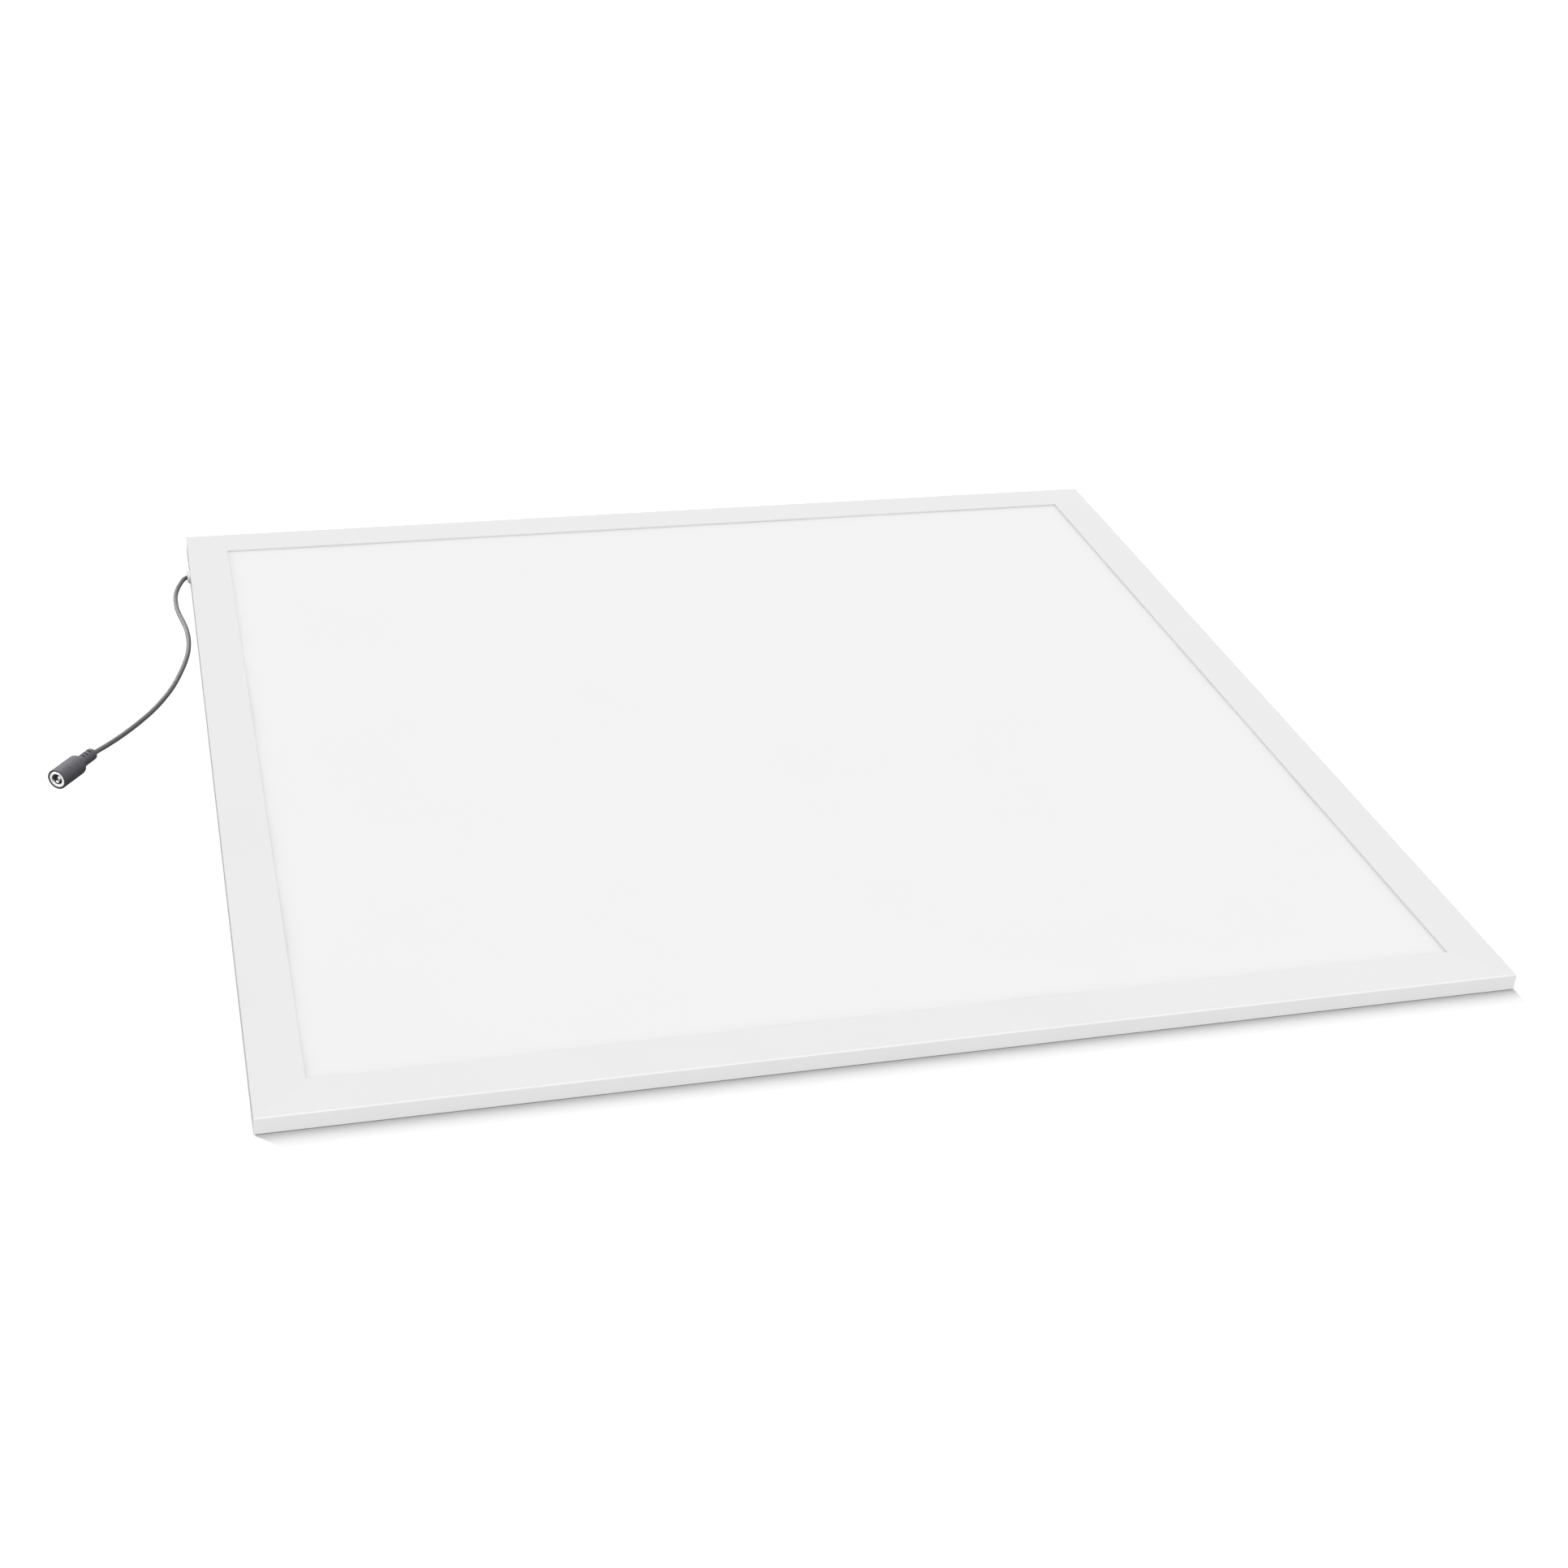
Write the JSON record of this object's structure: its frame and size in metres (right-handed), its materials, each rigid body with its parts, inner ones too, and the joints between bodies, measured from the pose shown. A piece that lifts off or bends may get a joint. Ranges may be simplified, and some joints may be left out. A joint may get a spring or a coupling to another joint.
{
  "type": "flat led light panel",
  "caption": "Square thin edge-lit light panel with a white mitred frame, opal diffuser, screwed back plate and a flexible low-voltage lead with an in-line barrel socket.",
  "frame": {"origin": "centre of the back plate's outer face, on the plane the panel rests on when it lies face up", "axes": "+Z out of the luminous face, +X right, +Y to the rear; the lead leaves the left side (-X) near the rear corner"},
  "size_m": [0.6777, 0.595, 0.0111],
  "materials": {
    "powder_coat": "satin",
    "back_coat": "satin",
    "opal_acrylic": "satin",
    "clear_acrylic": "gloss",
    "reflector_film": "satin",
    "foam": "matte",
    "zinc_steel": "satin",
    "cast_key": "satin",
    "circuit_board": "satin",
    "thermal_tape": "matte",
    "white_plastic": "satin",
    "tie_plastic": "satin",
    "grey_pvc": "satin",
    "red_pvc": "satin",
    "black_pvc": "satin",
    "black_nylon": "satin",
    "nickel": "satin"
  },
  "bodies": {
    "panel": {"frame_front": "powder_coat", "frame_right": "powder_coat", "frame_rear": "powder_coat", "frame_left": "powder_coat", "corner_key_front_left": "cast_key", "corner_key_front_right": "cast_key", "corner_key_rear_right": "cast_key", "corner_key_rear_left": "cast_key", "back_plate": "back_coat", "screw_front_1": "zinc_steel", "screw_front_2": "zinc_steel", "screw_front_3": "zinc_steel", "screw_front_4": "zinc_steel", "screw_right_1": "zinc_steel", "screw_right_2": "zinc_steel", "screw_right_3": "zinc_steel", "screw_right_4": "zinc_steel", "screw_rear_1": "zinc_steel", "screw_rear_2": "zinc_steel", "screw_rear_3": "zinc_steel", "screw_rear_4": "zinc_steel", "screw_left_1": "zinc_steel", "screw_left_2": "zinc_steel", "screw_left_3": "zinc_steel", "screw_left_4": "zinc_steel", "foam_pad": "foam", "reflector_sheet": "reflector_film", "light_guide_plate": "clear_acrylic", "diffuser_plate": "opal_acrylic", "led_strip_front": "circuit_board", "led_strip_rear": "circuit_board", "thermal_tape_front": "thermal_tape", "thermal_tape_rear": "thermal_tape", "supply_core_red": "red_pvc", "supply_core_black": "black_pvc", "link_wire_red": "red_pvc", "link_wire_black": "black_pvc", "cable_outlet": "white_plastic", "cable_tie": "tie_plastic", "lead_entry": "grey_pvc"},
    "lead_1": {"lead_section_1": "grey_pvc"},
    "lead_2": {"lead_section_2": "grey_pvc"},
    "lead_3": {"lead_section_3": "grey_pvc"},
    "lead_4": {"lead_section_4": "grey_pvc"},
    "lead_5": {"lead_section_5": "grey_pvc"},
    "lead_6": {"lead_section_6": "grey_pvc"},
    "lead_end": {"lead_section_7": "grey_pvc", "socket_shell": "grey_pvc", "socket_ring": "nickel", "socket_insert": "black_nylon", "socket_pin": "nickel"},
    "contact": {"spring_contact": "nickel"}
  },
  "joints": [
    {"name": "lead_lift", "type": "hinge", "parent": "panel", "child": "lead_1", "pos_m": [-0.304, 0.2363, 0.0049], "axis": [-1, 0, 0], "range_deg": [0, 20]},
    {"name": "lead_bend", "type": "hinge", "parent": "lead_1", "child": "lead_2", "pos_m": [-0.3075, 0.2165, 0.0028], "axis": [0, 0, -1], "range_deg": [0, 18]},
    {"name": "lead_lift_2", "type": "hinge", "parent": "lead_2", "child": "lead_3", "pos_m": [-0.303, 0.1815, 0.0015], "axis": [-1, 0, 0], "range_deg": [0, 20]},
    {"name": "lead_bend_2", "type": "hinge", "parent": "lead_3", "child": "lead_4", "pos_m": [-0.3034, 0.1525, 0.0015], "axis": [0, 0, -1], "range_deg": [0, 18]},
    {"name": "lead_lift_3", "type": "hinge", "parent": "lead_4", "child": "lead_5", "pos_m": [-0.3095, 0.124, 0.0015], "axis": [-1, 0, 0], "range_deg": [0, 20]},
    {"name": "lead_bend_3", "type": "hinge", "parent": "lead_5", "child": "lead_6", "pos_m": [-0.319, 0.097, 0.0015], "axis": [0, 0, -1], "range_deg": [0, 18]},
    {"name": "lead_bend_4", "type": "hinge", "parent": "lead_6", "child": "lead_end", "pos_m": [-0.333, 0.0715, 0.0015], "axis": [0, 0, -1], "range_deg": [0, 18]},
    {"name": "contact_spring", "type": "hinge", "parent": "lead_end", "child": "contact", "pos_m": [-0.37155, 0.01614, 0.00306], "axis": [0.7332, -0.5327, -0.4226], "range_deg": [0, 5]}
  ],
  "couplings": [
    {"joint": "lead_lift_2", "follows": "lead_lift", "ratio": 1},
    {"joint": "lead_lift_3", "follows": "lead_lift", "ratio": 1},
    {"joint": "lead_bend_2", "follows": "lead_bend", "ratio": 1},
    {"joint": "lead_bend_3", "follows": "lead_bend", "ratio": 1},
    {"joint": "lead_bend_4", "follows": "lead_bend", "ratio": 1}
  ]
}
